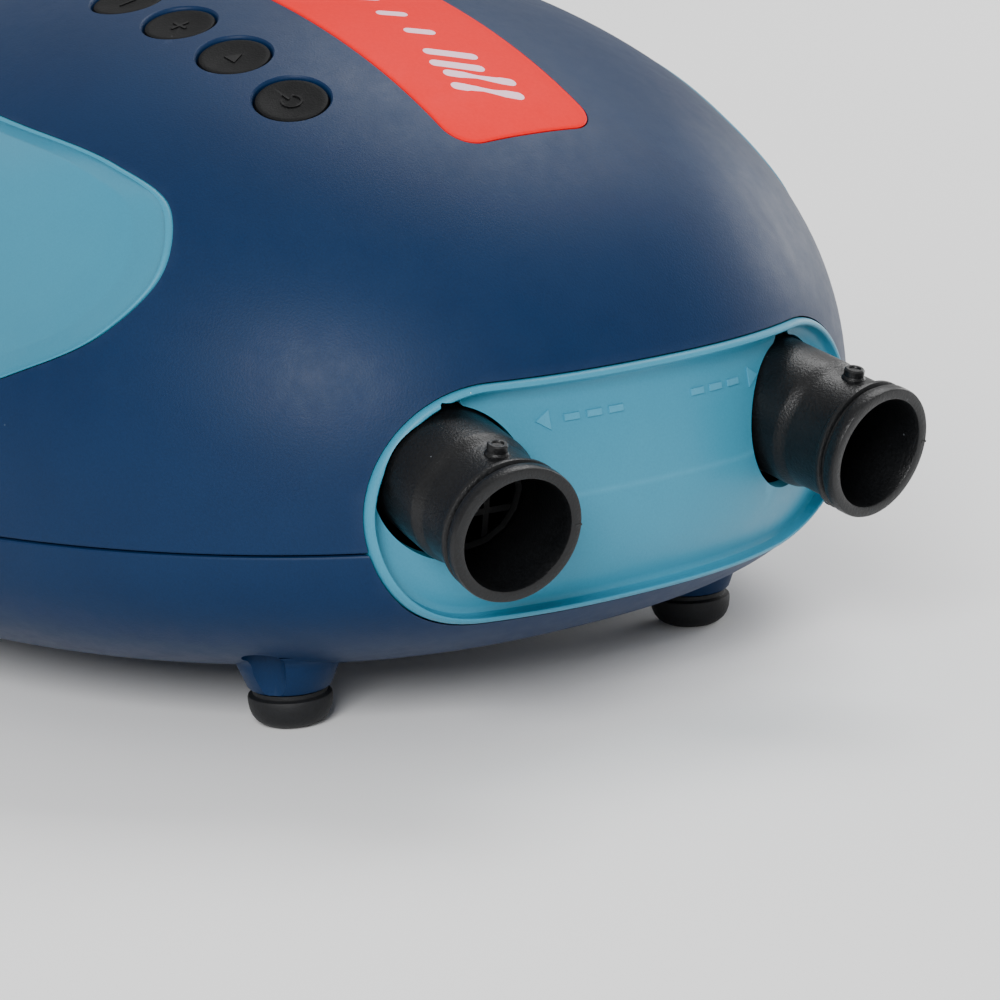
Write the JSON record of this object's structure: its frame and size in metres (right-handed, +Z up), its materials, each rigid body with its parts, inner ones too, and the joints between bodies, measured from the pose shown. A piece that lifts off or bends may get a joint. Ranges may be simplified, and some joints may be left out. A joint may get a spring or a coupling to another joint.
{
  "type": "portable electric inflation pump",
  "caption": "Low oval electric inflation pump with separate inflate and deflate nozzles, finger recesses in both sides and rubber feet.",
  "frame": {"origin": "centre of the bounding box at floor level, under the pump", "axes": "+X forward to the nozzles, +Y to the pump's left, +Z up from the floor"},
  "size_m": [0.3256, 0.198, 0.1248],
  "materials": {
    "navy_shell": "satin moulded ABS, fine grain",
    "teal_trim": "satin moulded ABS",
    "red_badge": "smooth coloured inlay",
    "smoked_window": "smoked polycarbonate",
    "black_plastic": "moulded glass-filled nylon",
    "black_rubber": "soft moulded rubber",
    "grey_silicone": "translucent grey silicone",
    "grey_plastic": "moulded frame",
    "circuit_board": "solder-masked laminate",
    "nylon": "natural nylon",
    "ptfe_ring": "filled PTFE",
    "brass": "cut",
    "aluminium": "die cast",
    "steel": "zinc plated"
  },
  "bodies": {
    "pump_body": {"upper_shell": "navy_shell", "lower_shell": "navy_shell", "port_panel": "teal_trim", "grip_liner_left": "teal_trim", "grip_liner_right": "teal_trim", "inflate_duct": "black_plastic", "deflate_duct": "black_plastic", "nozzle_deflate": "black_plastic", "nozzle_inflate": "black_plastic", "cylinder": "aluminium", "blower_volute": "black_plastic", "intake_grille": "black_plastic", "display_window": "smoked_window", "blower_inlet_cover": "black_plastic", "power_inlet": "black_plastic", "compressor_bracket": "steel", "cylinder_head": "aluminium", "foot_cap_front_left": "black_rubber", "foot_cap_front_right": "black_rubber", "foot_cap_rear_left": "black_rubber", "foot_cap_rear_right": "black_rubber", "blower_motor": "steel", "compressor_motor": "steel", "pressure_tube": "black_rubber", "badge_plate": "red_badge", "key_mat": "grey_silicone", "switch_board": "circuit_board", "valve_plate": "steel", "screw_front_left": "steel", "screw_front_right": "steel", "screw_rear_left": "steel", "screw_rear_right": "steel", "screw_tail_left": "steel", "screw_tail_right": "steel", "pressure_sensor": "black_plastic", "lcd_module": "grey_plastic", "control_board": "circuit_board", "power_board": "circuit_board"},
    "key_power": {"button_power": "black_plastic"},
    "key_mode": {"button_mode": "black_plastic"},
    "key_plus": {"button_plus": "black_plastic"},
    "key_minus": {"button_minus": "black_plastic"},
    "key_unit": {"button_unit": "black_plastic"},
    "blower_rotor": {"impeller": "nylon", "blower_shaft": "steel", "cooling_fan": "nylon"},
    "crank": {"crank_gear": "nylon"},
    "pinion": {"motor_pinion": "brass"},
    "piston_group": {"piston": "aluminium", "piston_ring": "ptfe_ring", "wrist_pin": "steel"},
    "rod_group": {"connecting_rod": "aluminium", "crank_pin": "steel"},
    "flap": {"check_flap": "black_rubber"}
  },
  "joints": [
    {"name": "press_power", "type": "slide", "parent": "pump_body", "child": "key_power", "axis": [-0.3725, 0.2408, -0.8963], "range_m": [0, 0.001], "stiffness_N_per_m": 900},
    {"name": "press_mode", "type": "slide", "parent": "pump_body", "child": "key_mode", "axis": [-0.2766, 0.2299, -0.9331], "range_m": [0, 0.001], "stiffness_N_per_m": 900},
    {"name": "press_plus", "type": "slide", "parent": "pump_body", "child": "key_plus", "axis": [-0.1981, 0.2244, -0.9542], "range_m": [0, 0.001], "stiffness_N_per_m": 900},
    {"name": "press_minus", "type": "slide", "parent": "pump_body", "child": "key_minus", "axis": [-0.1312, 0.2226, -0.966], "range_m": [0, 0.001], "stiffness_N_per_m": 900},
    {"name": "press_unit", "type": "slide", "parent": "pump_body", "child": "key_unit", "axis": [-0.0733, 0.2232, -0.972], "range_m": [0, 0.001], "stiffness_N_per_m": 900},
    {"name": "blower_spin", "type": "hinge", "parent": "pump_body", "child": "blower_rotor", "pos_m": [-0.06782, 0, 0.058], "axis": [1, 0, 0], "continuous": true},
    {"name": "crank_spin", "type": "hinge", "parent": "pump_body", "child": "crank", "pos_m": [0.03218, 0.0009, 0.04], "axis": [1, 0, 0], "continuous": true},
    {"name": "pinion_spin", "type": "hinge", "parent": "pump_body", "child": "pinion", "pos_m": [0.02318, -0.02805, 0.04], "axis": [1, 0, 0], "continuous": true},
    {"name": "piston_stroke", "type": "slide", "parent": "pump_body", "child": "piston_group", "axis": [0, 1, 0], "range_m": [-0.016, 0]},
    {"name": "rod_swing", "type": "hinge", "parent": "piston_group", "child": "rod_group", "pos_m": [0.03218, 0.0529, 0.04], "axis": [1, 0, 0], "range_deg": [-10.5, 10.5]},
    {"name": "flap_swing", "type": "hinge", "parent": "pump_body", "child": "flap", "pos_m": [0.12765, 0.03432, 0.05862], "axis": [0.1132, -0.9936, 0], "range_deg": [0, 38]}
  ],
  "couplings": [
    {"joint": "pinion_spin", "follows": "crank_spin", "ratio": -3.6}
  ]
}
